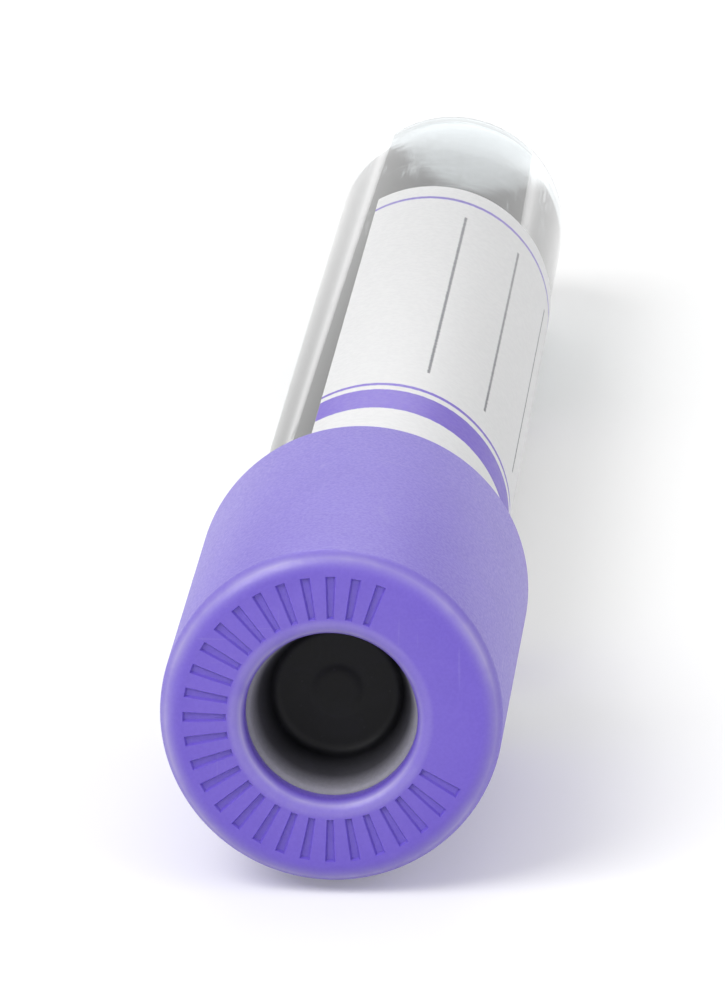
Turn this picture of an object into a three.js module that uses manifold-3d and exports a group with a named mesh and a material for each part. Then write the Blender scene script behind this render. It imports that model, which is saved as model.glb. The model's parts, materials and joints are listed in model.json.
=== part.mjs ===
// A capped blood collection tube that lies on a flat surface, in millimetres, +Z up.
// Every piece is made in the tube's own frame: Y runs along the tube's axis, from 0 at the cap's end
// face to the tube's round end. The whole is then leaned into its resting pose.
import * as THREE from 'three';
import { mergeVertices } from 'three/addons/utils/BufferGeometryUtils.js';
import Module from 'manifold-3d';

const wasm = await Module();
wasm.setup();

// Facets
const sides = 28; // flat sides in a full turn, a multiple of four
const flatDown = Math.PI / sides; // turns a ring so that it has a flat side, not a corner, underneath
const roundEndSteps = 8; // steps in the quarter circle of the round end
const edgeSteps = 3; // steps in the quarter circle of a rounded edge
const cutPast = 1; // how far a cutter reaches past the face that it cuts

// Clearances
const seatGap = 0.3; // between two pieces that touch on the real object
const skirtGap = 0.5; // between the tube and the cap's skirt

// Tube
const tubeLength = 100;
const tubeRadius = 6.5; // outside, at the mouth
const tubeWall = 1;
const tubeDraft = 0.2; // radius that the tube loses from its mouth to its round end
const rimRounding = 0.4;

// Cap
const capLength = 24.5;
const capWall = 1.25;
const capFaceThickness = 1.5;
const capEdgeRounding = 1;
const capHoleRadius = 4.15;
const capHoleRounding = 0.7;
const skirtEndRounding = 0.5;
const ledgeThickness = 1; // the inner ring that grips the stopper
const ledgeHoleRadius = 5.2;

// Marks sunk in the cap's face
const markCount = 27;
const markArc = THREE.MathUtils.degToRad(260); // swept by the marks, the rest is smooth
const markMiddleAngle = THREE.MathUtils.degToRad(200); // from the right, seen from the face
const markLength = 2.1;
const markWidth = 0.42;
const markDepth = 0.2;

// Stopper
const headThickness = 1.9; // the ring above the cap's ledge
const flangeThickness = 1.4; // the ring below the ledge, which seats on the tube's rim
const plugLength = 8.5;
const plugTaper = 0.35; // radius that the plug loses from its root to its tip
const wellDepth = 3.4; // the recess that the needle enters
const wellFloorRadius = 3.15;
const wellLip = 0.15; // how far the well's mouth stays inside the cap's hole
const wellFloorRounding = 0.4;
const membraneThickness = 4;
const lowerWellRadius = 3.4;
const lowerWellTaper = 0.6; // radius that the lower well loses from its mouth to its roof

// Label
const labelGap = 0.1;
const labelThickness = 0.1;
const labelLength = 54;
const labelPastSkirt = 5; // from the skirt's open end to the label
const windowArc = THREE.MathUtils.degToRad(62); // left open by the label
const windowAngle = THREE.MathUtils.degToRad(150); // middle of the window, from the right

// Additive
const poolLength = 13;
const poolWidth = 6;
const poolDepth = 1.5;

// Worked out from the sizes above
const skirtRadius = tubeRadius + skirtGap; // inside of the skirt
const capRadius = skirtRadius + capWall;
const headTop = capFaceThickness + seatGap;
const ledgeTop = headTop + headThickness + seatGap;
const flangeTop = ledgeTop + ledgeThickness + seatGap;
const rimAt = flangeTop + flangeThickness + seatGap;
const tubeEnd = rimAt + tubeLength;
const roundEndRadius = tubeRadius - tubeDraft;
const roundEndAt = tubeEnd - roundEndRadius;
const boreRadius = tubeRadius - tubeWall; // at the mouth
const stopperRadius = skirtRadius - seatGap;
const plugRadius = boreRadius - seatGap;
const plugEnd = rimAt + plugLength;

/** The distance from the axis to the middle of a flat side, for a ring of corners at this radius. */
const flatRadius = (radius) => radius * Math.cos(Math.PI / sides);

/** The tube's outer radius at a place along its axis. */
const tubeRadiusAt = (y) => tubeRadius - (tubeDraft * (y - rimAt)) / (roundEndAt - rimAt);

/** A path's points, with the given steps to each of its quarter circles. */
const pointsOf = (path, steps = edgeSteps) => path.getPoints(Math.ceil(steps / 2));

/** A ring or cup turned about Y. It has a corner straight down, or a flat side if it is turned so. */
function turned(points, turn = 0) {
  return new THREE.LatheGeometry(points, sides, turn);
}

/** A closed geometry as a manifold-3d solid, for joining and cutting. */
function solidOf(geometry) {
  const bare = geometry.clone();
  bare.deleteAttribute('normal');
  bare.deleteAttribute('uv');
  const merged = mergeVertices(bare, 1e-4);
  return new wasm.Manifold(new wasm.Mesh({
    numProp: 3,
    vertProperties: new Float32Array(merged.attributes.position.array),
    triVerts: new Uint32Array(merged.index.array),
  }));
}

/** A manifold-3d solid as a three.js geometry. */
function geometryOf(solid) {
  const { vertProperties, triVerts } = solid.getMesh();
  const geometry = new THREE.BufferGeometry();
  geometry.setAttribute('position', new THREE.BufferAttribute(vertProperties, 3));
  geometry.setIndex(new THREE.BufferAttribute(triVerts, 1));
  geometry.computeVertexNormals();
  return geometry;
}

/** A named mesh with a material of its own. */
function piece(name, geometry, color, roughness, look = {}) {
  const material = new THREE.MeshStandardMaterial({ color, roughness, metalness: 0, ...look });
  const mesh = new THREE.Mesh(geometry, material);
  mesh.name = name;
  return mesh;
}

/** A clear plastic tube with a round closed end, an open mouth and a rounded rim. */
function tube() {
  const innerEndRadius = roundEndRadius - tubeWall;
  const path = new THREE.Path();
  path.moveTo(0, tubeEnd - tubeWall);
  path.absarc(0, roundEndAt, innerEndRadius, Math.PI / 2, 0, true);
  path.lineTo(boreRadius, rimAt + rimRounding);
  path.absarc(boreRadius + rimRounding, rimAt + rimRounding, rimRounding, Math.PI, 1.5 * Math.PI);
  path.absarc(tubeRadius - rimRounding, rimAt + rimRounding, rimRounding, -Math.PI / 2, 0);
  path.lineTo(roundEndRadius, roundEndAt);
  path.absarc(0, roundEndAt, roundEndRadius, 0, Math.PI / 2);
  return piece('tube', turned(pointsOf(path, roundEndSteps), flatDown), 0xe8eef2, 0.1, {
    transparent: true,
    opacity: 0.35,
  });
}

/** The cap's body: an end wall with a hole, a skirt and an inner ledge. */
function capBody() {
  const holeRim = capHoleRadius + capHoleRounding;
  const edgeMiddle = capRadius - capEdgeRounding;
  const skirtEnd = capLength - skirtEndRounding;
  const path = new THREE.Path();
  path.moveTo(capHoleRadius, capHoleRounding);
  path.absarc(holeRim, capHoleRounding, capHoleRounding, Math.PI, 1.5 * Math.PI);
  path.lineTo(edgeMiddle, 0);
  path.absarc(edgeMiddle, capEdgeRounding, capEdgeRounding, -Math.PI / 2, 0);
  path.lineTo(capRadius, skirtEnd);
  path.absarc(capRadius - skirtEndRounding, skirtEnd, skirtEndRounding, 0, Math.PI / 2);
  path.lineTo(skirtRadius, capLength);
  path.lineTo(skirtRadius, ledgeTop + ledgeThickness);
  path.lineTo(ledgeHoleRadius, ledgeTop + ledgeThickness);
  path.lineTo(ledgeHoleRadius, ledgeTop);
  path.lineTo(skirtRadius, ledgeTop);
  path.lineTo(skirtRadius, capFaceThickness);
  path.lineTo(capHoleRadius, capFaceThickness);
  path.closePath();
  return turned(pointsOf(path));
}

/** The row of short radial marks, as one solid that is cut from the cap's face. */
function markCutter() {
  const middleRadius = (capHoleRadius + capHoleRounding + capRadius - capEdgeRounding) / 2;
  const bar = new THREE.BoxGeometry(markLength, markDepth + cutPast, markWidth);
  const bars = [];
  for (let i = 0; i < markCount; i += 1) {
    const angle = markMiddleAngle + markArc * (i / (markCount - 1) - 0.5);
    const placed = bar.clone();
    placed.translate(middleRadius, (markDepth - cutPast) / 2, 0);
    placed.rotateY(-angle);
    bars.push(solidOf(placed));
  }
  return wasm.Manifold.union(bars);
}

/** The moulded cap, with its marks. */
function cap() {
  const marked = solidOf(capBody()).subtract(markCutter());
  return piece('cap', geometryOf(marked), 0x6f5ac6, 0.38);
}

/** The rubber stopper, gripped by the cap's ledge, with its plug in the tube's mouth. */
function stopper() {
  const wellFloor = headTop + wellDepth;
  const lowerWellTop = wellFloor + membraneThickness;
  const neckRadius = ledgeHoleRadius - seatGap;
  const wellBend = wellFloorRadius - wellFloorRounding;
  const path = new THREE.Path();
  path.moveTo(0, wellFloor);
  path.lineTo(wellBend, wellFloor);
  path.quadraticCurveTo(wellFloorRadius, wellFloor, wellFloorRadius, wellFloor - wellFloorRounding);
  path.lineTo(capHoleRadius - wellLip, headTop);
  path.lineTo(stopperRadius, headTop);
  path.lineTo(stopperRadius, headTop + headThickness);
  path.lineTo(neckRadius, headTop + headThickness);
  path.lineTo(neckRadius, flangeTop);
  path.lineTo(stopperRadius, flangeTop);
  path.lineTo(stopperRadius, flangeTop + flangeThickness);
  path.lineTo(plugRadius, flangeTop + flangeThickness);
  path.lineTo(plugRadius - plugTaper, plugEnd);
  path.lineTo(lowerWellRadius, plugEnd);
  path.lineTo(lowerWellRadius - lowerWellTaper, lowerWellTop);
  path.lineTo(0, lowerWellTop);
  return piece('stopper', turned(pointsOf(path)), 0x26262a, 0.5);
}

/** The label, wrapped round the tube with a window left open between its two edges. */
function label() {
  const start = capLength + labelPastSkirt;
  const end = start + labelLength;
  const inner = (y) => tubeRadiusAt(y) + labelGap;
  const outer = (y) => inner(y) + labelThickness;
  const ring = turned([
    new THREE.Vector2(inner(start), start),
    new THREE.Vector2(outer(start), start),
    new THREE.Vector2(outer(end), end),
    new THREE.Vector2(inner(end), end),
    new THREE.Vector2(inner(start), start),
  ], flatDown);
  const wedgeReach = 2 * tubeRadius;
  const wedge = new THREE.Shape();
  wedge.moveTo(0, 0);
  wedge.absarc(0, 0, wedgeReach, windowAngle - windowArc / 2, windowAngle + windowArc / 2);
  const depth = labelLength + 2 * cutPast;
  const cutter = new THREE.ExtrudeGeometry(wedge, { depth, bevelEnabled: false, curveSegments: 2 });
  cutter.rotateX(Math.PI / 2);
  cutter.translate(0, end + cutPast, 0);
  return piece('label', geometryOf(solidOf(ring).subtract(solidOf(cutter))), 0xf2f2f4, 0.6);
}

/** The dose of liquid, a bead that lies on the bore's low side where the round end starts. */
function additive() {
  const bore = (y) => tubeRadiusAt(y) - tubeWall - seatGap;
  const poolStart = roundEndAt - poolLength;
  const path = new THREE.Path();
  path.moveTo(0, poolStart);
  path.lineTo(bore(poolStart), poolStart);
  path.lineTo(bore(roundEndAt), roundEndAt);
  path.absarc(0, roundEndAt, bore(roundEndAt), 0, Math.PI / 2);
  const room = turned(pointsOf(path, roundEndSteps), flatDown);
  const bead = new THREE.SphereGeometry(1, sides, sides / 2);
  bead.scale(poolWidth / 2, poolLength / 2, poolDepth);
  bead.translate(0, roundEndAt - poolLength / 2, -bore(roundEndAt) - seatGap);
  return piece('additive', geometryOf(solidOf(room).intersect(solidOf(bead))), 0xd9e6ea, 0.05, {
    transparent: true,
    opacity: 0.5,
  });
}

/** The angle at which the capped tube rests on its skirt's open end and its round end. */
function restLean() {
  const drop = capRadius - flatRadius(roundEndRadius);
  return Math.atan2(drop, roundEndAt - (capLength - skirtEndRounding));
}

/** The whole object, with its origin under the middle of its bounding box. */
function bloodTube() {
  const lying = new THREE.Group();
  lying.add(cap(), stopper(), tube(), label(), additive());
  lying.rotation.x = -restLean();
  const reach = new THREE.Box3().setFromObject(lying, true);
  const middle = reach.getCenter(new THREE.Vector3());
  lying.position.set(-middle.x, -middle.y, -reach.min.z);
  const group = new THREE.Group();
  group.add(lying);
  return group;
}

const group = bloodTube();
export default group;
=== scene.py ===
"""A capped blood collection tube that lies on a pale surface.

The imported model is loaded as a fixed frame. Each of its solids is replaced by a smooth, detailed piece
that keeps the solid's form and is dressed in a procedural finish.

Pieces are drawn in millimetres in the tube's own frame, where Y runs along the tube from 0 at the cap's
end face, and angles are counted from the right, as seen from that face. They are then laid in place.
Finishes and the setting are in metres.
"""

import json
import logging
import math
from dataclasses import dataclass, field, replace
from enum import Enum
from functools import reduce
from typing import Callable, Iterable, Sequence

import bmesh
import bpy
from bmesh.types import BMesh, BMFace, BMVert
from mathutils import Matrix, Vector


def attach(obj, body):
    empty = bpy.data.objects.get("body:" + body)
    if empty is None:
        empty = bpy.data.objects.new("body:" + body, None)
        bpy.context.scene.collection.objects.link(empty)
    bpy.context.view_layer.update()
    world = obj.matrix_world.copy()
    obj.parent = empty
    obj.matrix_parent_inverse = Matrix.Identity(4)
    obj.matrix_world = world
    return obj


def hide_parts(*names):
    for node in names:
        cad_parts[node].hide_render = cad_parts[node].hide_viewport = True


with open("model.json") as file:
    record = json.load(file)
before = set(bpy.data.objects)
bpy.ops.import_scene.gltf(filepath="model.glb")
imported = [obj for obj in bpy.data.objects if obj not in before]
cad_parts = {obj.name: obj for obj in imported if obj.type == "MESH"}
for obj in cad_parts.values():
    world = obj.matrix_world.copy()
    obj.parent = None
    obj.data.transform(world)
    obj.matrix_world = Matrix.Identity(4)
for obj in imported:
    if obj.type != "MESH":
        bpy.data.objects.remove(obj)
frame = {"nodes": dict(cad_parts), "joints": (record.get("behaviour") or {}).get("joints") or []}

log = logging.getLogger("blood_collection_tube")

MM = 0.001
FULL_TURN = 2 * math.pi
WELD_DISTANCE = 1e-4  # mm
SHARP_ANGLE = math.radians(32)
HALF_TURNED = math.sqrt(0.5)  # how much a surface at 45 degrees faces each way
WEAR_AND_PAINTED_LIGHT = "wear_and_painted_light"  # mask of worn places and painted light: the cap's edges and hole ring, the stopper's well mouth
WRAP = "wrap"  # the label's own flat measure

Triple = tuple[float, float, float]
Colour = Triple
Span = tuple[float, float]
Node = bpy.types.Node
Socket = bpy.types.NodeSocket
Value = float | Triple | Socket

UNIT: Span = (0.0, 1.0)


# ---------------------------------------------------------------------------------------------------
# The tube's own frame
# ---------------------------------------------------------------------------------------------------


@dataclass(frozen=True)
class Reach:
    """How far a solid reaches in the tube's own frame, in millimetres."""

    start: float
    end: float
    radius: float

    @property
    def length(self) -> float:
        """The reach along the tube."""
        return self.end - self.start


class LyingTube:
    """The frame in which the tube is drawn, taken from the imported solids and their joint."""

    def __init__(self) -> None:
        """Finds the tube's axis from the closure's pull, and its origin from the cap."""
        axis = -Vector(frame["joints"][0]["axis"]).normalized()
        up = Vector((1, 0, 0)).cross(axis)
        turned = Matrix(((1, 0, 0), axis, up)).transposed().to_4x4()
        corners = self._corners("cap", turned)
        middle = [(min(c[i] for c in corners) + max(c[i] for c in corners)) / 2 for i in (0, 2)]
        face = min(c[1] for c in corners)
        self.placing: Matrix = turned @ Matrix.Translation((middle[0], face, middle[1]))

    @staticmethod
    def _corners(node: str, placing: Matrix) -> list[Vector]:
        """Gives a solid's corners as seen from a placed frame.

        Args:
            node: The solid's name.
            placing: The matrix that lays the frame in place.

        Returns:
            The corners, in metres.
        """
        back = placing.inverted()
        return [back @ v.co for v in frame["nodes"][node].data.vertices]

    def reach(self, node: str) -> Reach:
        """Measures a solid in the tube's own frame.

        Args:
            node: The solid's name.

        Returns:
            Its reach along the tube and its radius, in millimetres.
        """
        corners = self._corners(node, self.placing)
        along = [c.y / MM for c in corners]
        across = [c.x / MM for c in corners]
        return Reach(min(along), max(along), (max(across) - min(across)) / 2)

    def lay(self, mesh: BMesh) -> None:
        """Moves a mesh drawn in millimetres to its place, in metres."""
        mesh.transform(self.placing @ Matrix.Scale(MM, 4))


# ---------------------------------------------------------------------------------------------------
# Turned forms
# ---------------------------------------------------------------------------------------------------


@dataclass(frozen=True)
class Rounding:
    """The arc that rounds a corner: how far before the corner it starts, and how many steps it has."""

    reach: float
    steps: int


@dataclass(frozen=True)
class Corner:
    """One corner of a turned piece's outline, rounded or sharp."""

    radius: float
    along: float
    rounding: Rounding | None = None


def draw_outline(mesh: BMesh, corners: Sequence[Corner], closed: bool) -> None:
    """Draws a wire outline in the XY plane and rounds its corners.

    Args:
        mesh: The empty mesh that takes the outline.
        corners: The outline's corners, in order.
        closed: Whether the last corner is joined to the first.
    """
    points = [mesh.verts.new((c.radius, c.along, 0)) for c in corners]
    pairs = list(zip(points, points[1:])) + ([(points[-1], points[0])] if closed else [])
    for a, b in pairs:
        mesh.edges.new((a, b))
    for point, corner in zip(points, corners):
        if corner.rounding:
            bmesh.ops.bevel(
                mesh, geom=[point], offset=corner.rounding.reach, offset_type="OFFSET",
                segments=corner.rounding.steps, profile=0.5, affect="VERTICES", clamp_overlap=True,
                material=-1,
            )


def turn(
    corners: Sequence[Corner], steps: int, closed: bool = False, start: float = 0.0, sweep: float = FULL_TURN
) -> BMesh:
    """Turns an outline about the tube's axis.

    Args:
        corners: The outline's corners. An open outline starts and ends on the axis.
        steps: How many steps the turn has.
        closed: Whether the outline closes on itself.
        start: The angle at which the turn starts.
        sweep: The angle that it covers.

    Returns:
        The turned mesh, welded, with its faces pointing outwards.
    """
    mesh = bmesh.new()
    draw_outline(mesh, corners, closed)
    full = math.isclose(sweep, FULL_TURN)
    if not full and closed:
        bmesh.ops.contextual_create(mesh, geom=list(mesh.edges))
    drawn = list(mesh.verts)
    bmesh.ops.rotate(mesh, verts=drawn, cent=(0, 0, 0), matrix=Matrix.Rotation(-start, 3, "Y"))
    bmesh.ops.spin(
        mesh, geom=drawn + list(mesh.edges) + list(mesh.faces), cent=(0, 0, 0), axis=(0, 1, 0),
        dvec=(0, 0, 0), angle=-sweep, steps=steps, use_merge=full, use_duplicate=False,
    )
    finish_shell(mesh)
    return mesh


def finish_shell(mesh: BMesh) -> None:
    """Welds a closed shell and points its faces outwards.

    Args:
        mesh: The shell.
    """
    bmesh.ops.remove_doubles(mesh, verts=list(mesh.verts), dist=WELD_DISTANCE)
    bmesh.ops.dissolve_degenerate(mesh, edges=list(mesh.edges), dist=WELD_DISTANCE / 2)
    bmesh.ops.recalc_face_normals(mesh, faces=list(mesh.faces))


def angle_of(point: Vector) -> float:
    """Gives a point's angle about the tube, in degrees from the right, from 0 up to 360."""
    return math.degrees(math.atan2(point.z, point.x)) % 360


def radius_of(point: Vector) -> float:
    """Gives a point's distance from the tube's axis."""
    return math.hypot(point.x, point.z)


def smooth_step(value: float, low: float, high: float) -> float:
    """Gives 0 at the low end, 1 at the high end and a smooth rise between them."""
    share = min(max((value - low) / (high - low), 0.0), 1.0)
    return share * share * (3 - 2 * share)


def edgeness(point: BMVert) -> float:
    """Says how far a surface turns away from both along and outward.

    Args:
        point: A corner of the surface, with its normal.

    Returns:
        From 0 on a flat or round wall to 1 in the middle of an edge.
    """
    outward = Vector((point.co.x, 0, point.co.z)).normalized()
    straight = max(abs(point.normal.y), abs(point.normal.dot(outward)))
    return min(1.0, (1 - straight) / (1 - HALF_TURNED))


def paint(mesh: BMesh, mask: str, rule: Callable[[BMVert], float]) -> None:
    """Paints a mask on a mesh.

    Args:
        mesh: The mesh.
        mask: The mask's name, which a finish reads.
        rule: Gives the mask's value at a corner.
    """
    mesh.normal_update()
    layer = mesh.verts.layers.float.new(mask)
    for point in mesh.verts:
        point[layer] = rule(point)


def shade(mesh: BMesh) -> None:
    """Shades a mesh smoothly, with its tighter edges left sharp.

    Args:
        mesh: The mesh.
    """
    for face in mesh.faces:
        face.smooth = True
    for edge in mesh.edges:
        edge.smooth = len(edge.link_faces) != 2 or edge.calc_face_angle() < SHARP_ANGLE


# ---------------------------------------------------------------------------------------------------
# Node trees
# ---------------------------------------------------------------------------------------------------


@dataclass(frozen=True)
class Noise:
    """How rich a noise is, and how far it is bent."""

    detail: float
    roughness: float = 0.5
    distortion: float = 0.0


class Sockets:
    """Adds, fills and links the nodes of one node tree."""

    MIX_MASK, MIX_FIRST, MIX_SECOND, MIX_RESULT = 0, 6, 7, 2  # the numbers of a Mix node's colour sockets

    def __init__(self, tree: bpy.types.NodeTree) -> None:
        """Keeps the tree and starts it empty."""
        self.tree = tree
        tree.nodes.clear()

    def fill(self, node: Node, values: dict[str | int, Value]) -> None:
        """Fills a node's inputs.

        Args:
            node: The node.
            values: Numbers, colours or output sockets, by the input's name or number.
        """
        for key, value in values.items():
            taking = node.inputs[key]
            if isinstance(value, Socket):
                self.tree.links.new(value, taking)
            else:
                taking.default_value = (*value, 1) if taking.type == "RGBA" else value

    def add(self, kind: str, values: dict[str | int, Value] | None = None, **settings: object) -> Node:
        """Adds a node.

        Args:
            kind: The node's type.
            values: What fills its inputs.
            **settings: The node's own settings.

        Returns:
            The new node.
        """
        node = self.tree.nodes.new(kind)
        for name, setting in settings.items():
            setattr(node, name, setting)
        self.fill(node, values or {})
        return node

    def math(self, operation: str, *values: float | Socket) -> Socket:
        """Gives the result of a Math node."""
        return self.add("ShaderNodeMath", dict(enumerate(values)), operation=operation).outputs[0]

    def plus(self, first: Socket, second: float | Socket) -> Socket:
        """Adds two values."""
        return self.math("ADD", first, second)

    def minus(self, first: Socket, second: float | Socket) -> Socket:
        """Takes the second value from the first."""
        return self.math("SUBTRACT", first, second)

    def times(self, first: Socket, second: float | Socket) -> Socket:
        """Multiplies two values."""
        return self.math("MULTIPLY", first, second)

    def most(self, first: Socket, second: Socket) -> Socket:
        """Gives the larger of two values."""
        return self.math("MAXIMUM", first, second)

    def scaled(self, value: Socket, by: float, start: float) -> Socket:
        """Scales a value and adds it to a start."""
        return self.plus(self.times(value, by), start)

    def ramp(self, value: Socket, span: Span, to: Span = UNIT) -> Socket:
        """Spreads a value's range smoothly over another one.

        Args:
            value: The socket to read.
            span: The values that give the first end and the second end.
            to: The two ends.

        Returns:
            The spread value.
        """
        node = self.add(
            "ShaderNodeMapRange",
            {"Value": value, "From Min": span[0], "From Max": span[1], "To Min": to[0], "To Max": to[1]},
            interpolation_type="SMOOTHSTEP",
        )
        return node.outputs["Result"]

    def blend(self, mask: Socket, first: Colour | Socket, second: Colour | Socket) -> Socket:
        """Mixes two colours.

        Args:
            mask: How much of the second colour shows.
            first: The first colour.
            second: The second colour.

        Returns:
            The mixed colour.
        """
        values = {self.MIX_MASK: mask, self.MIX_FIRST: first, self.MIX_SECOND: second}
        return self.add("ShaderNodeMix", values, data_type="RGBA").outputs[self.MIX_RESULT]

    def noise(self, place: Socket, scale: float | Socket, look: Noise) -> Socket:
        """Adds a noise.

        Args:
            place: Where it is read.
            scale: How many of its features fit in one unit of the place.
            look: How rich it is.

        Returns:
            The noise, round a middle of 0.5.
        """
        values = {
            "Vector": place, "Scale": scale, "Detail": look.detail, "Roughness": look.roughness,
            "Distortion": look.distortion,
        }
        return self.add("ShaderNodeTexNoise", values).outputs[0]


# ---------------------------------------------------------------------------------------------------
# Shared surface effects
# ---------------------------------------------------------------------------------------------------


class Effect(Enum):
    """The surface effects that the finishes are built from."""

    MOULDED_GRAIN = "moulded_grain"
    HANDLING_MARKS = "handling_marks"
    PRINTED_FIELD = "printed_field"


@dataclass(frozen=True)
class ScratchLay:
    """One lay of scratches: how its pattern is turned, and how much tighter it is along each axis."""

    turn: Triple
    tightness: Triple


@dataclass
class EffectLibrary:
    """Builds each shared effect once, as a shader node group."""

    grain_noise: Noise = Noise(detail=3.0, roughness=0.6)
    grain_span: Span = (0.35, 0.65)
    grain_share: float = 0.7  # of the height
    flow_noise: Noise = Noise(detail=4.0, roughness=0.55, distortion=0.6)
    flow_span: Span = (0.3, 0.7)
    flow_share: float = 0.3  # of the height
    scratch_noise: Noise = Noise(detail=2.0)
    scratch_span: Span = (0.68, 0.74)
    scratch_lays: tuple[ScratchLay, ...] = (
        ScratchLay((0.6, 0.42, 0.78), (1.0, 22.0, 1.0)),
        ScratchLay((-0.9, -0.63, -1.17), (18.0, 1.0, 1.0)),
        ScratchLay((0.2, 0.14, 0.26), (1.0, 1.0, 26.0)),
    )
    speck_span: Span = (0.14, 0.05)
    wobble_noise: Noise = Noise(detail=1.0)
    wobble_scale: float = 160.0
    wobble_middle: float = 0.5
    wobble_size: float = 0.002
    print_edge: Span = (-0.0012, 0.0012)
    groups: dict[Effect, bpy.types.NodeTree] = field(default_factory=dict)

    def group(self, effect: Effect) -> bpy.types.NodeTree:
        """Gives an effect's group, which is built when it is first asked for.

        Args:
            effect: The effect.

        Returns:
            Its node group.
        """
        if effect not in self.groups:
            makers = {
                Effect.MOULDED_GRAIN: self._moulded_grain,
                Effect.HANDLING_MARKS: self._handling_marks,
                Effect.PRINTED_FIELD: self._printed_field,
            }
            self.groups[effect] = bpy.data.node_groups.new(effect.value, "ShaderNodeTree")
            makers[effect](self.groups[effect])
        return self.groups[effect]

    @staticmethod
    def _frame_group(
        group: bpy.types.NodeTree, numbers: dict[str, float], outputs: Iterable[str]
    ) -> tuple[Sockets, Node, Node]:
        """Gives a new group a place input, its number inputs and its number outputs.

        Args:
            group: The group.
            numbers: Each number input's default value, by name.
            outputs: The outputs' names.

        Returns:
            The group's sockets, its input node and its output node.
        """
        group.interface.new_socket("Place", in_out="INPUT", socket_type="NodeSocketVector")
        for name, default in numbers.items():
            socket = group.interface.new_socket(name, in_out="INPUT", socket_type="NodeSocketFloat")
            socket.default_value = default
        for name in outputs:
            group.interface.new_socket(name, in_out="OUTPUT", socket_type="NodeSocketFloat")
        sockets = Sockets(group)
        return sockets, sockets.add("NodeGroupInput"), sockets.add("NodeGroupOutput")

    def _moulded_grain(self, group: bpy.types.NodeTree) -> None:
        """Builds the fine grain and slow flow of a moulded surface.

        Args:
            group: The empty group.
        """
        numbers = {"Grain Size": 0.0002, "Flow Size": 0.004}
        sockets, given, result = self._frame_group(group, numbers, ("Height", "Grain", "Flow"))
        place = given.outputs["Place"]
        grain_scale, flow_scale = (sockets.math("DIVIDE", 1.0, given.outputs[name]) for name in numbers)
        grain = sockets.noise(place, grain_scale, self.grain_noise)
        flow = sockets.ramp(sockets.noise(place, flow_scale, self.flow_noise), self.flow_span)
        height = sockets.plus(sockets.times(grain, self.grain_share), sockets.times(flow, self.flow_share))
        sockets.fill(result, {"Height": height, "Grain": sockets.ramp(grain, self.grain_span), "Flow": flow})

    def _handling_marks(self, group: bpy.types.NodeTree) -> None:
        """Builds sparse hair scratches and small rubbed specks.

        Args:
            group: The empty group.
        """
        numbers = {"Scratch Length": 0.006, "Speck Size": 0.0012}
        sockets, given, result = self._frame_group(group, numbers, ("Scratches", "Specks"))
        place = given.outputs["Place"]
        scratch_scale, speck_scale = (sockets.math("DIVIDE", 1.0, given.outputs[name]) for name in numbers)
        lays = []
        for lay in self.scratch_lays:
            laid = sockets.add(
                "ShaderNodeMapping", {"Vector": place, "Rotation": lay.turn, "Scale": lay.tightness}
            )
            noise = sockets.noise(laid.outputs[0], scratch_scale, self.scratch_noise)
            lays.append(sockets.ramp(noise, self.scratch_span))
        cells = sockets.add("ShaderNodeTexVoronoi", {"Vector": place, "Scale": speck_scale})
        sockets.fill(result, {
            "Scratches": reduce(sockets.most, lays),
            "Specks": sockets.ramp(cells.outputs["Distance"], self.speck_span),
        })

    def _printed_field(self, group: bpy.types.NodeTree) -> None:
        """Builds a printed rectangle with slightly uneven edges, in a piece's own flat measure.

        Args:
            group: The empty group.
        """
        numbers = {"Around": 0.5, "Along": 0.5, "Half Around": 0.1, "Half Along": 0.1}
        sockets, given, result = self._frame_group(group, numbers, ("Mask",))
        place = given.outputs["Place"]
        noise = sockets.noise(place, self.wobble_scale, self.wobble_noise)
        wobble = sockets.times(sockets.minus(noise, self.wobble_middle), self.wobble_size)
        parts = sockets.add("ShaderNodeSeparateXYZ", {0: place})
        sides = []
        for axis, middle in (("X", "Around"), ("Y", "Along")):
            away = sockets.math("ABSOLUTE", sockets.minus(parts.outputs[axis], given.outputs[middle]))
            inside = sockets.minus(given.outputs[f"Half {middle}"], sockets.plus(away, wobble))
            sides.append(sockets.ramp(inside, self.print_edge))
        sockets.fill(result, {"Mask": sockets.times(*sides)})


effects = EffectLibrary()


# ---------------------------------------------------------------------------------------------------
# Finishes
# ---------------------------------------------------------------------------------------------------


@dataclass(frozen=True)
class Grain:
    """A moulded grain: the size of its features and of its slow flow, and how proud it stands, if it does."""

    size: float
    flow: float
    height: float = 0.0
    strength: float = 0.0


@dataclass(frozen=True)
class Depth:
    """How light goes into a surface: its share, how far each colour goes beside the others, and its reach."""

    share: float
    colours: Triple
    reach: float

    def values(self) -> dict[str, Value]:
        """Gives what fills the shader's inputs."""
        names = ("Subsurface Weight", "Subsurface Radius", "Subsurface Scale")
        return dict(zip(names, (self.share, self.colours, self.reach)))


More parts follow.
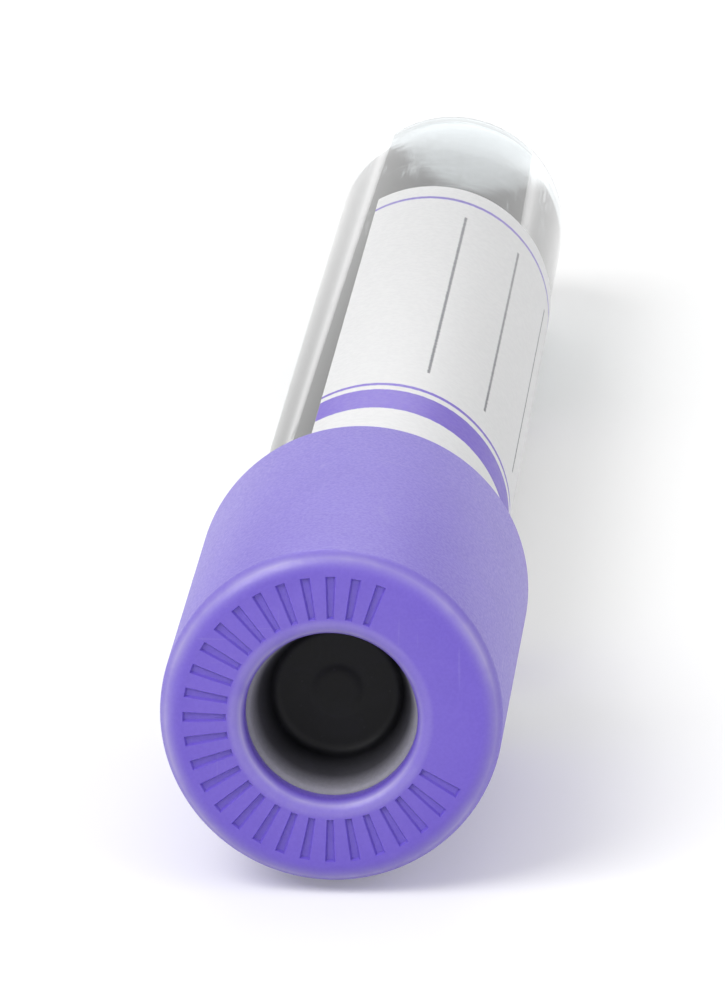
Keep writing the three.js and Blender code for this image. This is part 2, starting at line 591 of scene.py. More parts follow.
class Coating(Sockets):
    """The nodes of one material, built round a Principled shader and read at the piece's own place."""

    def __init__(self, name: str) -> None:
        """Starts the material with its shader, its output and its place.

        Args:
            name: The material's name.
        """
        self.material: bpy.types.Material = bpy.data.materials.new(name)
        self.material.use_nodes = True
        super().__init__(self.material.node_tree)
        self.shader: Node = self.add("ShaderNodeBsdfPrincipled")
        self.output: Node = self.add("ShaderNodeOutputMaterial", {"Surface": self.shader.outputs[0]})
        self.place: Socket = self.add("ShaderNodeTexCoord").outputs["Object"]

    def set_shader(self, values: dict[str | int, Value]) -> None:
        """Fills the shader's inputs."""
        self.fill(self.shader, values)

    def effect(self, effect: Effect, values: dict[str | int, Value]) -> Node:
        """Places a shared effect.

        Args:
            effect: The effect.
            values: What fills its inputs. Its place is the piece's own, unless another is given.

        Returns:
            The effect's node.
        """
        group = effects.group(effect)
        return self.add("ShaderNodeGroup", {"Place": self.place, **values}, node_tree=group)

    def grain(self, grain: Grain) -> Node:
        """Places a moulded grain, and a bump if it stands proud.

        Args:
            grain: The grain's measures.

        Returns:
            The effect's node.
        """
        node = self.effect(Effect.MOULDED_GRAIN, {"Grain Size": grain.size, "Flow Size": grain.flow})
        if grain.height:
            height = node.outputs["Height"]
            bump = self.add(
                "ShaderNodeBump", {"Height": height, "Strength": grain.strength, "Distance": grain.height}
            )
            self.set_shader({"Normal": bump.outputs[0]})
        return node

    def wear_and_painted_light(self, uneven: Socket, to: Span) -> Socket:
        """Reads the piece's painted mask of wear and painted light, and makes it a little uneven.

        Args:
            uneven: What makes it uneven, from 0 to 1.
            to: The share of the paint that is left at 0 and at 1.

        Returns:
            The mask.
        """
        painted = self.add("ShaderNodeAttribute", attribute_name=WEAR_AND_PAINTED_LIGHT).outputs["Fac"]
        return self.times(painted, self.ramp(uneven, UNIT, to))


@dataclass(frozen=True)
class Finish:
    """What every finish has: a name, and a material made from it."""

    name: str

    def material(self) -> bpy.types.Material:
        """Makes the material.

        Returns:
            The finished material.
        """
        coating = Coating(self.name)
        self.dress(coating)
        return coating.material

    def dress(self, coating: Coating) -> None:
        """Adds the finish's own nodes to a started material."""
        raise NotImplementedError


@dataclass(frozen=True)
class MouldedPlastic(Finish):
    """Opaque satin plastic with a fine moulded grain, as a coloured polyethylene cap has."""

    colour: Colour = (0.158, 0.102, 0.548)
    deep_colour: Colour = (0.138, 0.086, 0.512)
    # A lighter lilac, painted on the cap's edges as wear and painted highlight, and round the hole as painted
    # highlight.
    wear_and_painted_light_colour: Colour = (0.36, 0.32, 0.60)
    mottle: float = 0.5
    wear_and_painted_light_share: Span = (0.5, 0.85)
    scratch_rub: float = 0.12
    scratch_length: float = 0.007
    roughness: float = 0.35
    grain_roughness: float = 0.10
    index: float = 1.5
    grain: Grain = Grain(size=0.00016, flow=0.003, height=0.000012, strength=0.5)
    depth: Depth = Depth(share=0.12, colours=(0.4, 0.3, 1.0), reach=0.0005)

    def dress(self, coating: Coating) -> None:
        """Adds a mottled colour, edges painted lighter as wear and painted highlight, a painted highlight
        ring round the hole, faint scratches and a satin grain.

        Args:
            coating: The started material.
        """
        grain = coating.grain(self.grain)
        marks = coating.effect(Effect.HANDLING_MARKS, {"Scratch Length": self.scratch_length})
        mottle = coating.times(coating.plus(grain.outputs["Flow"], grain.outputs["Grain"]), self.mottle)
        flowed = coating.blend(mottle, self.colour, self.deep_colour)
        # The painted mask: edges that are partly worn and partly painted highlight, and a painted highlight
        # ring round the hole.
        edges = coating.wear_and_painted_light(grain.outputs["Flow"], self.wear_and_painted_light_share)
        wear_and_painted_light = coating.most(edges, coating.times(marks.outputs["Scratches"], self.scratch_rub))
        coating.set_shader({
            "Base Color": coating.blend(wear_and_painted_light, flowed, self.wear_and_painted_light_colour),
            "Roughness": coating.scaled(grain.outputs["Grain"], self.grain_roughness, self.roughness),
            "IOR": self.index,
            **self.depth.values(),
        })


@dataclass(frozen=True)
class ButylRubber(Finish):
    """Near-black rubber with a soft gleam, a faint dry bloom and dusty specks."""

    colour: Colour = (0.005, 0.005, 0.006)
    bloom_colour: Colour = (0.020, 0.020, 0.024)
    # A grey painted at the needle well's mouth as painted light, fading into the black rubber deeper in; a
    # little of it is wear on edges.
    wear_and_painted_light_colour: Colour = (0.26, 0.255, 0.29)
    flow_bloom: float = 0.45
    speck_bloom: float = 0.6
    speck_size: float = 0.0007
    wear_and_painted_light_share: Span = (0.92, 1.0)
    roughness: float = 0.46
    bloom_roughness: float = 0.16
    index: float = 1.52
    specular: float = 0.2
    grain: Grain = Grain(size=0.00022, flow=0.0018, height=0.00001, strength=0.3)

    def dress(self, coating: Coating) -> None:
        """Adds the bloom, the specks, painted light at the well's mouth and a little wear on edges.

        Args:
            coating: The started material.
        """
        grain = coating.grain(self.grain)
        marks = coating.effect(Effect.HANDLING_MARKS, {"Speck Size": self.speck_size})
        specks = coating.times(marks.outputs["Specks"], self.speck_bloom)
        bloom = coating.most(coating.times(grain.outputs["Flow"], self.flow_bloom), specks)
        clean = coating.blend(bloom, self.colour, self.bloom_colour)
        # Painted light at the well's mouth, and a little wear on the edges.
        wear_and_painted_light = coating.wear_and_painted_light(grain.outputs["Grain"], self.wear_and_painted_light_share)
        coating.set_shader({
            "Base Color": coating.blend(wear_and_painted_light, clean, self.wear_and_painted_light_colour),
            "Roughness": coating.scaled(bloom, self.bloom_roughness, self.roughness),
            "IOR": self.index,
            "Specular IOR Level": self.specular,
        })


@dataclass(frozen=True)
class ClearPlastic(Finish):
    """Clear moulded plastic with faint flow lines, a few scuffs and a cool tint where it is seen edge on."""

    colour: Colour = (0.92, 0.945, 0.955)
    flow_shade: float = 0.985  # of the colour, in the flow lines
    depth_colour: Colour = (0.32, 0.44, 0.49)
    depth_density: float = 90.0  # per metre of plastic
    scratch_length: float = 0.009
    scuff_roughness: float = 0.10
    roughness: float = 0.03
    index: float = 1.57
    grain: Grain = Grain(size=0.004, flow=0.016, height=0.00002, strength=0.2)

    def dress(self, coating: Coating) -> None:
        """Adds the flow lines, the scuffs and the tint of the plastic's depth.

        Args:
            coating: The started material.
        """
        grain = coating.grain(self.grain)
        marks = coating.effect(Effect.HANDLING_MARKS, {"Scratch Length": self.scratch_length})
        flow_colour = tuple(part * self.flow_shade for part in self.colour)
        coating.set_shader({
            "Base Color": coating.blend(grain.outputs["Flow"], self.colour, flow_colour),
            "Roughness": coating.scaled(marks.outputs["Scratches"], self.scuff_roughness, self.roughness),
            "IOR": self.index,
            "Transmission Weight": 1.0,
        })
        depth = coating.add(
            "ShaderNodeVolumeAbsorption", {"Color": self.depth_colour, "Density": self.depth_density}
        )
        coating.fill(coating.output, {"Volume": depth.outputs[0]})


@dataclass(frozen=True)
class LabelPrint:
    """One printed rectangle on the label, placed as shares of its wrap and its length."""

    around: float
    along: float
    half_around: float
    half_along: float
    dark: bool = False

    def values(self) -> dict[str, Value]:
        """Gives what fills the effect's inputs."""
        names = ("Around", "Along", "Half Around", "Half Along")
        return dict(zip(names, (self.around, self.along, self.half_around, self.half_along)))


@dataclass(frozen=True)
class LabelStock(Finish):
    """White label stock with a soft varnish, printed with plain fields."""

    prints: tuple[LabelPrint, ...]
    paper: Colour = (0.80, 0.80, 0.81)
    fibre: Colour = (0.74, 0.74, 0.755)
    fibre_share: float = 0.5
    ink: Colour = (0.13, 0.07, 0.52)
    dark_ink: Colour = (0.13, 0.13, 0.15)
    roughness: float = 0.42
    grain_roughness: float = 0.12
    ink_gloss: float = 0.10
    grain: Grain = Grain(size=0.0003, flow=0.005, height=0.00001, strength=0.3)
    depth: Depth = Depth(share=0.9, colours=(1.0, 1.0, 1.0), reach=0.0006)

    def dress(self, coating: Coating) -> None:
        """Adds the paper and the prints.

        Args:
            coating: The started material.
        """
        grain = coating.grain(self.grain)
        wrap = coating.add("ShaderNodeUVMap", uv_map=WRAP).outputs[0]
        fibres = coating.times(grain.outputs["Grain"], self.fibre_share)
        colour = coating.blend(fibres, self.paper, self.fibre)
        masks = []
        for spot in self.prints:
            printed = coating.effect(Effect.PRINTED_FIELD, {"Place": wrap, **spot.values()})
            masks.append(printed.outputs["Mask"])
            colour = coating.blend(masks[-1], colour, self.dark_ink if spot.dark else self.ink)
        paper_rough = coating.scaled(grain.outputs["Grain"], self.grain_roughness, self.roughness)
        inked = reduce(coating.most, masks)
        coating.set_shader({
            "Base Color": colour,
            "Roughness": coating.minus(paper_rough, coating.times(inked, self.ink_gloss)),
            **self.depth.values(),
        })


@dataclass(frozen=True)
class ClearLiquid(Finish):
    """A small dose of clear liquid with a faint cloudiness."""

    colour: Colour = (0.96, 0.98, 0.99)
    cloudy_colour: Colour = (0.93, 0.96, 0.98)
    cloudy_roughness: float = 0.02
    index: float = 1.34
    grain: Grain = Grain(size=0.002, flow=0.006)

    def dress(self, coating: Coating) -> None:
        """Adds the cloudiness.

        Args:
            coating: The started material.
        """
        cloud = coating.grain(self.grain)
        coating.set_shader({
            "Base Color": coating.blend(cloud.outputs["Flow"], self.colour, self.cloudy_colour),
            "Roughness": coating.times(cloud.outputs["Grain"], self.cloudy_roughness),
            "IOR": self.index,
            "Transmission Weight": 1.0,
        })


# ---------------------------------------------------------------------------------------------------
# Sub-assemblies
# ---------------------------------------------------------------------------------------------------


class Body(Enum):
    """The bodies that pieces ride on."""

    TUBE = "tube_body"
    CLOSURE = "closure"


def put(name: str, data: bpy.types.ID) -> bpy.types.Object:
    """Puts an object in the scene.

    Args:
        name: The object's name.
        data: Its mesh, lamp or camera.

    Returns:
        The object.
    """
    thing = bpy.data.objects.new(name, data)
    bpy.context.scene.collection.objects.link(thing)
    return thing


def put_mesh(name: str, mesh: BMesh, material: bpy.types.Material) -> bpy.types.Object:
    """Puts a mesh in the scene.

    Args:
        name: The object's name.
        mesh: The mesh, which is freed.
        material: What it is dressed in.

    Returns:
        The object.
    """
    data = bpy.data.meshes.new(name)
    mesh.to_mesh(data)
    mesh.free()
    data.materials.append(material)
    return put(name, data)


def set_piece(lying: LyingTube, mesh: BMesh, name: str, finish: Finish, body: Body, node: str) -> None:
    """Lays a finished mesh in place as a piece that stands for a solid.

    Args:
        lying: The tube's frame.
        mesh: The mesh, in millimetres, which is freed.
        name: The piece's name.
        finish: What it is dressed in.
        body: The body that it rides on.
        node: The solid that it replaces.
    """
    shade(mesh)
    lying.lay(mesh)
    piece = put_mesh(name, mesh, finish.material())
    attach(piece, body.value)
    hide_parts(node)
    log.info("%s: %d faces, for %s", name, len(piece.data.polygons), node)


@dataclass
class ClearTube:
    """The round-ended tube: its wall, its rim and the small gate mark on its round end."""

    lying: LyingTube
    wall: float = 1.0
    draft: float = 0.2
    rim_edge: Rounding = Rounding(0.4, 6)
    round_end_steps: int = 32
    round_end_share: float = 0.995  # of a quarter circle, so that an arc's end stays clear of the next corner
    gate_radius: float = 1.1
    gate_slope: float = 0.12
    gate_depth: float = 0.1
    steps: int = 160
    finish: Finish = ClearPlastic("clear_polyester")
    reach: Reach = field(init=False)

    def __post_init__(self) -> None:
        """Takes the tube's size from its solid."""
        self.reach = self.lying.reach("tube")

    @property
    def round_end_radius(self) -> float:
        """The outer radius where the round end starts."""
        return self.reach.radius - self.draft

    @property
    def round_end_at(self) -> float:
        """Where the round end starts along the tube."""
        return self.reach.end - self.round_end_radius

    def radius_at(self, along: float) -> float:
        """Gives the outer radius at a place along the tube."""
        share = (along - self.reach.start) / (self.round_end_at - self.reach.start)
        return self.reach.radius - self.draft * min(max(share, 0.0), 1.0)

    def bore_at(self, along: float) -> float:
        """Gives the inner radius at a place along the tube."""
        return self.radius_at(along) - self.wall

    def _round_end(self, radius: float, along: float) -> list[Corner]:
        """Gives the outline of a round end, from the tip's centre outwards.

        Args:
            radius: The round end's radius.
            along: Where its tip is.

        Returns:
            The tip's centre, and the corner that its arc rounds.
        """
        arc = Rounding(radius * self.round_end_share, self.round_end_steps)
        return [Corner(0, along), Corner(radius, along, arc)]

    def outline(self) -> list[Corner]:
        """Gives the wall's outline.

        Returns:
            The corners, from the inside of the round end to its outside.
        """
        mouth, end, radius = self.reach.start, self.reach.end, self.round_end_radius
        return [
            *self._round_end(radius - self.wall, end - self.wall),
            Corner(self.bore_at(mouth), mouth, self.rim_edge),
            Corner(self.radius_at(mouth), mouth, self.rim_edge),
            *reversed(self._round_end(radius, end)),
        ]

    def build(self) -> None:
        """Turns the wall, sinks the gate mark and sets the piece."""
        mesh = turn(self.outline(), self.steps)
        outer_tip = self.reach.end - self.gate_radius
        gate = [
            f for f in mesh.faces
            if f.calc_center_median().y > outer_tip and f.normal.y > 0
            and max(radius_of(v.co) for v in f.verts) < self.gate_radius
        ]
        bmesh.ops.inset_region(
            mesh, faces=gate, thickness=self.gate_slope, depth=-self.gate_depth, use_even_offset=True
        )
        set_piece(self.lying, mesh, "clear_tube", self.finish, Body.TUBE, "tube")


@dataclass
class Cap:
    """The moulded cap: its end wall with a rounded hole, its skirt, its inner ledge and its marks.

    The marks' step, middle and width are in degrees.
    """

    lying: LyingTube
    wall: float = 1.25
    face_thickness: float = 1.5
    face_edge: Rounding = Rounding(1.0, 12)
    hole_radius: float = 4.15
    hole_edge: Rounding = Rounding(0.7, 10)
    hole_back_edge: Rounding = Rounding(0.12, 3)
    skirt_edge: Rounding = Rounding(0.5, 6)
    mouth_edge: Rounding = Rounding(0.3, 4)
    ledge_start: float = 4.0
    ledge_end: float = 5.0
    ledge_radius: float = 5.2
    ledge_edge: Rounding = Rounding(0.2, 3)
    mark_count: int = 27
    mark_step: int = 10
    mark_middle: int = 200
    mark_width: int = 4
    mark_start: float = 5.0
    mark_end: float = 7.1
    mark_depth: float = 0.17
    mark_slope: float = 0.08
    # A painted highlight on a narrow ring round the hole, fading out over this span of radii.
    ring_highlight: float = 0.42
    ring_highlight_fade: Span = (4.75, 5.08)
    steps: int = 360
    finish: Finish = MouldedPlastic("purple_polyethylene")
    reach: Reach = field(init=False)

    def __post_init__(self) -> None:
        """Takes the cap's size from its solid."""
        self.reach = self.lying.reach("cap")

    @property
    def skirt_radius(self) -> float:
        """The skirt's inner radius."""
        return self.reach.radius - self.wall

    def outline(self) -> list[Corner]:
        """Gives the cap's closed outline.

        Returns:
            The corners, from the hole's edge outwards and back along the inside.
        """
        radius, skirt, end = self.reach.radius, self.skirt_radius, self.reach.end
        return [
            Corner(self.hole_radius, 0, self.hole_edge),
            Corner(self.mark_start, 0),
            Corner(self.mark_end, 0),
            Corner(radius, 0, self.face_edge),
            Corner(radius, end, self.skirt_edge),
            Corner(skirt, end, self.mouth_edge),
            Corner(skirt, self.ledge_end, self.ledge_edge),
            Corner(self.ledge_radius, self.ledge_end, self.ledge_edge),
            Corner(self.ledge_radius, self.ledge_start, self.ledge_edge),
            Corner(skirt, self.ledge_start, self.ledge_edge),
            Corner(skirt, self.face_thickness, self.ledge_edge),
            Corner(self.hole_radius, self.face_thickness, self.hole_back_edge),
        ]

    def _marked(self, face: BMFace) -> bool:
        """Says whether a face of the end wall lies on one of the marks.

        Args:
            face: The face.

        Returns:
            True on a mark.
        """
        middle = face.calc_center_median()
        if middle.y > WELD_DISTANCE or not self.mark_start < radius_of(middle) < self.mark_end:
            return False
        first = self.mark_middle - self.mark_step * self.mark_count / 2
        number, within = divmod((angle_of(middle) - first) % 360, self.mark_step)
        return number < self.mark_count and abs(within - self.mark_step / 2) < self.mark_width / 2

    def _wear_and_painted_light(self, point: BMVert) -> float:
        """Says where the cap is painted lighter: along its edges, as wear and painted highlight, and on a
        narrow ring round the hole, as painted highlight.

        Args:
            point: A corner of the surface.

        Returns:
            From 0 where nothing is painted to 1 where the wear and painted highlight are full.
        """
        if point.co.y > self.hole_edge.reach / 2:
            return edgeness(point)
        ring = self.ring_highlight * (1 - smooth_step(radius_of(point.co), *self.ring_highlight_fade))
        return max(edgeness(point), ring)

    def build(self) -> None:
        """Turns the cap, sinks its marks and sets the piece."""
        mesh = turn(self.outline(), self.steps, closed=True)
        # Paints the mask of edge wear and painted highlight.
        paint(mesh, WEAR_AND_PAINTED_LIGHT, self._wear_and_painted_light)
        marked = [f for f in mesh.faces if self._marked(f)]
        bmesh.ops.inset_region(
            mesh, faces=marked, thickness=self.mark_slope, depth=-self.mark_depth, use_even_offset=True
        )
        set_piece(self.lying, mesh, "cap_shell", self.finish, Body.CLOSURE, "cap")


@dataclass
class Stopper:
    """The rubber stopper: its needle well, its head and flange, and its ribbed plug."""

    lying: LyingTube
    cap: Cap
    tube: ClearTube
    fit: float = 0.02
    well_floor_at: float = 5.2
    well_floor_radius: float = 3.15
    well_floor_edge: Rounding = Rounding(0.45, 6)
    well_mouth_radius: float = 4.0
    well_mouth_edge: Rounding = Rounding(0.3, 6)
    dimple_radius: float = 1.3
    dimple_floor_share: float = 0.7
    dimple_depth: float = 0.15
    dimple_edge: Rounding = Rounding(0.25, 4)
    head_edge: Rounding = Rounding(0.3, 4)
    neck_edge: Rounding = Rounding(0.2, 3)
    plug_radius: float = 5.2
    plug_root_edge: Rounding = Rounding(0.15, 3)
    plug_edge: Rounding = Rounding(0.4, 4)
    tip_taper: float = 0.5
    tip_length: float = 1.6
    tip_edge: Rounding = Rounding(0.3, 5)
    rib_places: tuple[float, ...] = (8.2, 10.2, 12.2)
    rib_width: float = 0.9
    rib_land_share: float = 0.4
    rib_edge: Rounding = Rounding(0.1, 3)
    lower_well_roof: float = 9.2
    lower_well_radius: float = 3.4
    lower_well_taper: float = 0.6
    lower_well_edge: Rounding = Rounding(0.6, 6)
    # Painted light at the well's mouth: where it fades out, and how far outside the hole it reaches; then the
    # share of edge wear elsewhere.
    painted_light_depth: float = 3.0
    painted_light_fade: float = 0.6
    painted_light_margin: float = 0.5
    wear_and_painted_light_share: float = 0.3
    steps: int = 160
    finish: Finish = ButylRubber("butyl_rubber")
    reach: Reach = field(init=False)

    def __post_init__(self) -> None:
        """Takes the stopper's length from its solid."""
        self.reach = self.lying.reach("stopper")

    def _well_radius_at(self, along: float) -> float:
        """Gives the needle well's radius at a depth."""
        share = (along - self.cap.face_thickness) / (self.well_floor_at - self.cap.face_thickness)
        return self.well_mouth_radius + (self.well_floor_radius - self.well_mouth_radius) * share

    def _wear_and_painted_light(self, point: BMVert) -> float:
        """Says where the stopper is painted lighter: painted light most at the well's mouth and none on its
        floor, a little edge wear elsewhere.

        Args:
            point: A corner of the surface.

        Returns:
            From 0 where nothing is painted to 1 where the painted light is full.
        """
        outside_well = radius_of(point.co) > self.cap.hole_radius + self.painted_light_margin
        if outside_well or point.co.y > self.reach.end / 2:
            return self.wear_and_painted_light_share * edgeness(point)
        return 1 - smooth_step(point.co.y, self.cap.face_thickness, self.painted_light_depth + self.painted_light_fade)

    def _ribs(self) -> list[Corner]:
        """Gives the plug's sealing ribs, which press against the bore.

        Returns:
            The ribs' corners, from the head to the tip.
        """
        corners = []
        for place in self.rib_places:
            proud, half = self.tube.bore_at(place) - self.fit, self.rib_width / 2
            land = half * self.rib_land_share
            corners += [
                Corner(self.plug_radius, place - half), Corner(proud, place - land, self.rib_edge),
                Corner(proud, place + land, self.rib_edge), Corner(self.plug_radius, place + half),
            ]
        return corners

    def outline(self) -> list[Corner]:
        """Gives the stopper's outline.

        Returns:
            The corners, from the needle well, round the head and the plug, to the lower well.
        """
        outer, neck = self.cap.skirt_radius - self.fit, self.cap.ledge_radius - self.fit
        head, rim, tip = self.cap.face_thickness + self.fit, self.tube.reach.start - self.fit, self.reach.end
        neck_start, neck_end = self.cap.ledge_start - self.fit, self.cap.ledge_end + self.fit
        floor, dimple = self.well_floor_at, self.well_floor_at + self.dimple_depth
        roof, roof_radius = self.lower_well_roof, self.lower_well_radius - self.lower_well_taper
        return [
            Corner(0, dimple),
            Corner(self.dimple_radius * self.dimple_floor_share, dimple, self.dimple_edge),
            Corner(self.dimple_radius, floor, self.dimple_edge),
            Corner(self.well_floor_radius, floor, self.well_floor_edge),
            # A corner where the painted light at the well's mouth fades.
            Corner(self._well_radius_at(self.painted_light_depth), self.painted_light_depth),
            Corner(self.well_mouth_radius, head, self.well_mouth_edge),
            Corner(outer, head, self.head_edge),
            Corner(outer, neck_start, self.head_edge),
            Corner(neck, neck_start, self.neck_edge),
            Corner(neck, neck_end, self.neck_edge),
            Corner(outer, neck_end, self.head_edge),
            Corner(outer, rim, self.head_edge),
            Corner(self.plug_radius, rim, self.plug_root_edge),
            *self._ribs(),
            Corner(self.plug_radius, tip - self.tip_length, self.plug_edge),
            Corner(self.plug_radius - self.tip_taper, tip, self.tip_edge),
            Corner(self.lower_well_radius, tip, self.tip_edge),
            Corner(roof_radius, roof, self.lower_well_edge),
            Corner(0, roof),
        ]

    def build(self) -> None:
        """Turns the stopper and sets the piece."""
        mesh = turn(self.outline(), self.steps)
        # Paints the mask of painted light at the well's mouth and of edge wear.
        paint(mesh, WEAR_AND_PAINTED_LIGHT, self._wear_and_painted_light)
        set_piece(self.lying, mesh, "rubber_stopper", self.finish, Body.CLOSURE, "stopper")


@dataclass
class WrappedLabel:
    """The label: a thin wrap round the tube that leaves a window between its two edges.

    The window's middle and width are in degrees.
    """

    lying: LyingTube
    tube: ClearTube
    window_middle: float = 150.0
    window_width: float = 62.0
    gap: float = 0.015
    thickness: float = 0.12
    edge: Rounding = Rounding(0.03, 2)
    steps: int = 150
    seam_margin: float = 1.0  # degrees
    back_shift: int = 2  # how far off the measure the back is put, so that nothing is printed on it
    band: LabelPrint = LabelPrint(0.5, 0.125, 0.6, 0.035)
    hairlines: tuple[LabelPrint, ...] = (
        LabelPrint(0.5, 0.180, 0.6, 0.0045), LabelPrint(0.5, 0.950, 0.6, 0.0045),
    )
    first_line: LabelPrint = LabelPrint(0.525, 0.57, 0.0022, 0.32, dark=True)
    line_count: int = 4
    line_step: float = 0.105
    box: tuple[LabelPrint, ...] = (
        LabelPrint(0.12, 0.54, 0.002, 0.25), LabelPrint(0.34, 0.54, 0.002, 0.25),
        LabelPrint(0.23, 0.29, 0.112, 0.0014), LabelPrint(0.23, 0.79, 0.112, 0.0014),
    )
    fill_mark: LabelPrint = LabelPrint(0.0, 0.40, 0.055, 0.003, dark=True)
    reach: Reach = field(init=False)

    def __post_init__(self) -> None:
        """Takes the label's place from its solid."""
        self.reach = self.lying.reach("label")

    @property
    def start_angle(self) -> float:
        """The angle of the label's first edge, in degrees."""
        return self.window_middle + self.window_width / 2

    @property
    def sweep(self) -> float:
        """The angle that the label covers, in degrees."""
        return 360 - self.window_width

    def prints(self) -> tuple[LabelPrint, ...]:
        """Gives the printed fields: a band, two hairlines, writing lines, an empty box and a fill mark.

        Returns:
            The fields, in the order in which they are printed.
        """
        first = self.first_line
        lines = (replace(first, around=first.around + self.line_step * i) for i in range(self.line_count))
        return (self.band, *self.hairlines, *lines, *self.box, self.fill_mark)

    def build(self) -> None:
        """Turns the label, gives it its flat measure and sets the piece."""
        start, end = self.reach.start, self.reach.end
        first, last = (self.tube.radius_at(along) + self.gap for along in (start, end))
        corners = [
            Corner(first, start), Corner(first + self.thickness, start, self.edge),
            Corner(last + self.thickness, end, self.edge), Corner(last, end),
        ]
        start_angle, sweep = math.radians(self.start_angle), math.radians(self.sweep)
        mesh = turn(corners, self.steps, closed=True, start=start_angle, sweep=sweep)
        self._measure(mesh)
        finish = LabelStock("label_stock", self.prints())
        set_piece(self.lying, mesh, "wrapped_label", finish, Body.TUBE, "label")

    def _measure(self, mesh: BMesh) -> None:
        """Gives the label a UV map of its wrap and its length, both from 0 to 1, and its back a place apart.

        Args:
            mesh: The label's mesh.
        """
        mesh.normal_update()
        layer = mesh.loops.layers.uv.new(WRAP)
        for face in mesh.faces:
            middle = face.calc_center_median()
            back = face.normal.dot(Vector((middle.x, 0, middle.z))) < 0
            for loop in face.loops:
                point = loop.vert.co
                turned = (angle_of(point) - self.start_angle + self.seam_margin) % 360 - self.seam_margin
                along = (point.y - self.reach.start) / self.reach.length
                loop[layer].uv = (turned / self.sweep, along - self.back_shift * back)


@dataclass
class Additive:
    """The dose of liquid, a bead that lies along the bottom of the bore."""

    lying: LyingTube
    tube: ClearTube
    half_length: float = 6.5
    half_width: float = 3.0
    depth: float = 1.4
    fit: float = 0.03
    segments: int = 96
    rings: int = 48
    finish: Finish = ClearLiquid("clear_additive")

    def _press(self, point: BMVert) -> None:
        """Presses a corner of the bead against the bore, if it lies beyond it.

        Args:
            point: The corner.
        """
        bore, reach = self.tube.bore_at(point.co.y) - self.fit, radius_of(point.co)
        if reach > bore:
            point.co.x, point.co.z = point.co.x * bore / reach, point.co.z * bore / reach

    def build(self) -> None:
        """Squashes a ball into a bead, presses it against the bore and sets the piece."""
        mesh = bmesh.new()
        bmesh.ops.create_uvsphere(mesh, u_segments=self.segments, v_segments=self.rings, radius=1)
        bmesh.ops.scale(mesh, vec=(self.half_width, self.half_length, self.depth), verts=list(mesh.verts))
        solid = self.lying.reach("additive")
        along = (solid.start + solid.end) / 2
        bmesh.ops.translate(mesh, vec=(0, along, -self.tube.bore_at(along)), verts=list(mesh.verts))
        for point in mesh.verts:
            self._press(point)
        finish_shell(mesh)
        set_piece(self.lying, mesh, "additive_bead", self.finish, Body.TUBE, "additive")


# ---------------------------------------------------------------------------------------------------
# Setting
# ---------------------------------------------------------------------------------------------------


def hang(name: str, data: bpy.types.ID, place: Sequence[float], facing: Vector) -> bpy.types.Object:
    """Hangs a lamp or the camera in the scene.

    Args:
        name: The object's name.
        data: The lamp or the camera.
        place: Where it hangs.
        facing: The direction in which it faces.

    Returns:
        The object.
    """
    thing = put(name, data)
    thing.location = place
    thing.rotation_euler = facing.to_track_quat("-Z", "Y").to_euler()
    return thing


@dataclass(frozen=True)
class Lamp:
    """A soft square lamp."""

    name: str
    place: Triple
    size: float
    power: float

    def light(self, target: Vector) -> None:
        """Hangs the lamp.

        Args:
            target: The point that it lights.
        """
        data = bpy.data.lights.new(self.name, "AREA")
        data.shape, data.size, data.energy = "SQUARE", self.size, self.power
        hang(self.name, data, self.place, target - Vector(self.place))


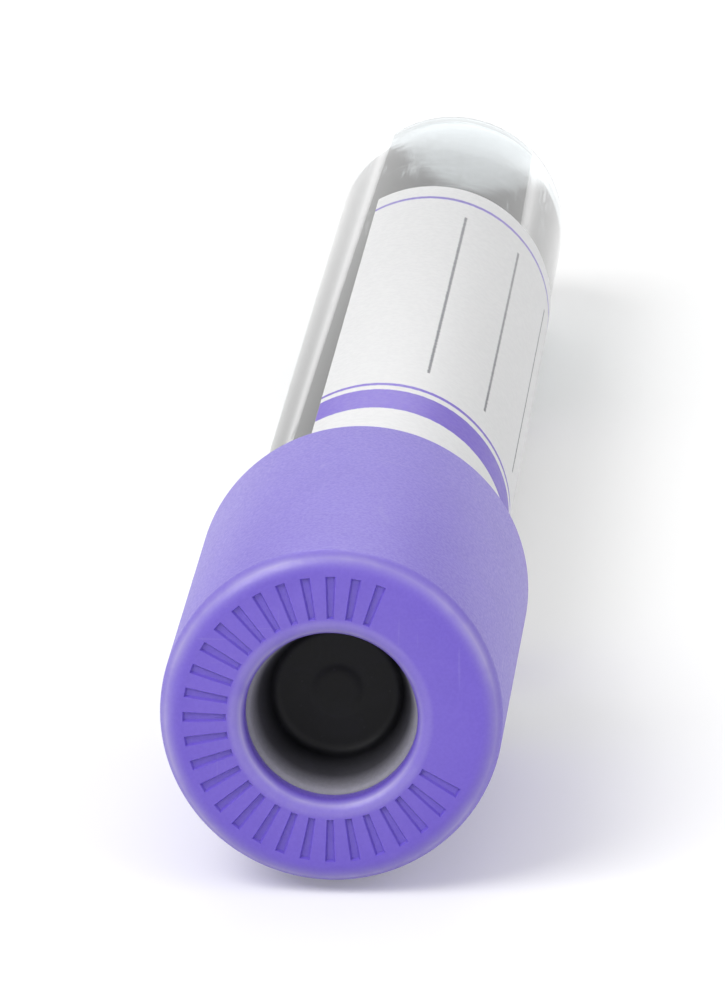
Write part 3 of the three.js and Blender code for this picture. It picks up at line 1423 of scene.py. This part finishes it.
@dataclass
class Setting:
    """The pale floor, the white surroundings, the soft lamps and the camera, which faces the cap."""

    target: Triple = (-0.0016, -0.0060, 0.0061)
    floor_radius: float = 2.5
    floor_steps: int = 96
    floor_colour: Colour = (0.80, 0.80, 0.80)
    floor_glow: float = 0.21  # near the tube, where its shadow lies; it is 1 far away
    glow_span: Span = (0.06, 0.30)
    ambient: float = 0.52
    white: Colour = (1, 1, 1)
    azimuth: float = 3.8
    elevation: float = 16.5
    distance: float = 0.56
    view_height: float = 0.0515
    nearest: float = 0.01
    lamps: tuple[Lamp, ...] = (
        Lamp("key_lamp", (-0.38, -0.42, 0.55), 0.45, 4.0),
        Lamp("fill_lamp", (0.60, -0.42, 0.35), 0.6, 1.3),
        Lamp("back_lamp", (-0.05, 0.55, 0.50), 0.5, 1.2),
    )

    @staticmethod
    def _seen(sockets: Sockets) -> Socket:
        """Tells the rays that show the background from those that light the tube.

        Args:
            sockets: The nodes of the material or the world.

        Returns:
            1 for camera, glossy and transmission rays, and 0 for the others.
        """
        path = sockets.add("ShaderNodeLightPath")
        rays = [path.outputs[f"Is {kind} Ray"] for kind in ("Camera", "Glossy", "Transmission")]
        return reduce(sockets.most, rays)

    def _floor(self) -> None:
        """Lays the floor, which reads as white away from the tube's shadow."""
        mesh = bmesh.new()
        bmesh.ops.create_circle(mesh, cap_ends=True, segments=self.floor_steps, radius=self.floor_radius)
        material = bpy.data.materials.new("pale_floor")
        material.use_nodes = True
        sockets = Sockets(material.node_tree)
        place = sockets.add("ShaderNodeTexCoord").outputs["Object"]
        away = sockets.add("ShaderNodeVectorMath", {0: place}, operation="LENGTH").outputs["Value"]
        glow = sockets.ramp(away, self.glow_span, (self.floor_glow, 1.0))
        matt = sockets.add("ShaderNodeBsdfDiffuse", {"Color": self.floor_colour})
        light = sockets.add("ShaderNodeEmission", {"Strength": sockets.times(self._seen(sockets), glow)})
        both = sockets.add("ShaderNodeAddShader", {0: matt.outputs[0], 1: light.outputs[0]})
        sockets.add("ShaderNodeOutputMaterial", {"Surface": both.outputs[0]})
        floor = put_mesh("floor", mesh, material)

    def _surroundings(self) -> None:
        """Makes the surroundings white to the eye and softer as a light."""
        world = bpy.data.worlds.new("white_surroundings")
        world.use_nodes = True
        sockets = Sockets(world.node_tree)
        strength = sockets.ramp(self._seen(sockets), UNIT, (self.ambient, 1.0))
        light = sockets.add("ShaderNodeBackground", {"Color": self.white, "Strength": strength})
        sockets.add("ShaderNodeOutputWorld", {"Surface": light.outputs[0]})
        bpy.context.scene.world = world

    def _camera(self, target: Vector) -> None:
        """Places the camera, a little above the tube and facing its cap.

        Args:
            target: The point that it faces.
        """
        turned, raised = math.radians(self.azimuth), math.radians(self.elevation)
        level = math.cos(raised)
        away = Vector((math.sin(turned) * level, -math.cos(turned) * level, math.sin(raised)))
        data = bpy.data.cameras.new("camera")
        data.lens = data.sensor_width * self.distance / self.view_height
        data.clip_start = self.nearest
        bpy.context.scene.camera = hang("camera", data, target + away * self.distance, -away)

    def build(self) -> None:
        """Builds the whole setting."""
        bpy.context.scene.view_settings.view_transform = "Standard"
        target = Vector(self.target)
        self._floor()
        self._surroundings()
        for lamp in self.lamps:
            lamp.light(target)
        self._camera(target)
        log.info(
            "setting: %d lamps, camera %s degrees round and %s up",
            len(self.lamps), self.azimuth, self.elevation,
        )


def main() -> None:
    """Builds the tube piece by piece, then its setting."""
    logging.basicConfig(level=logging.INFO, format="%(name)s: %(message)s")
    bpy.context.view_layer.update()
    lying = LyingTube()
    tube = ClearTube(lying)
    cap = Cap(lying)
    tube.build()
    cap.build()
    Stopper(lying, cap, tube).build()
    WrappedLabel(lying, tube).build()
    Additive(lying, tube).build()
    Setting().build()


if __name__ == "__main__":
    main()
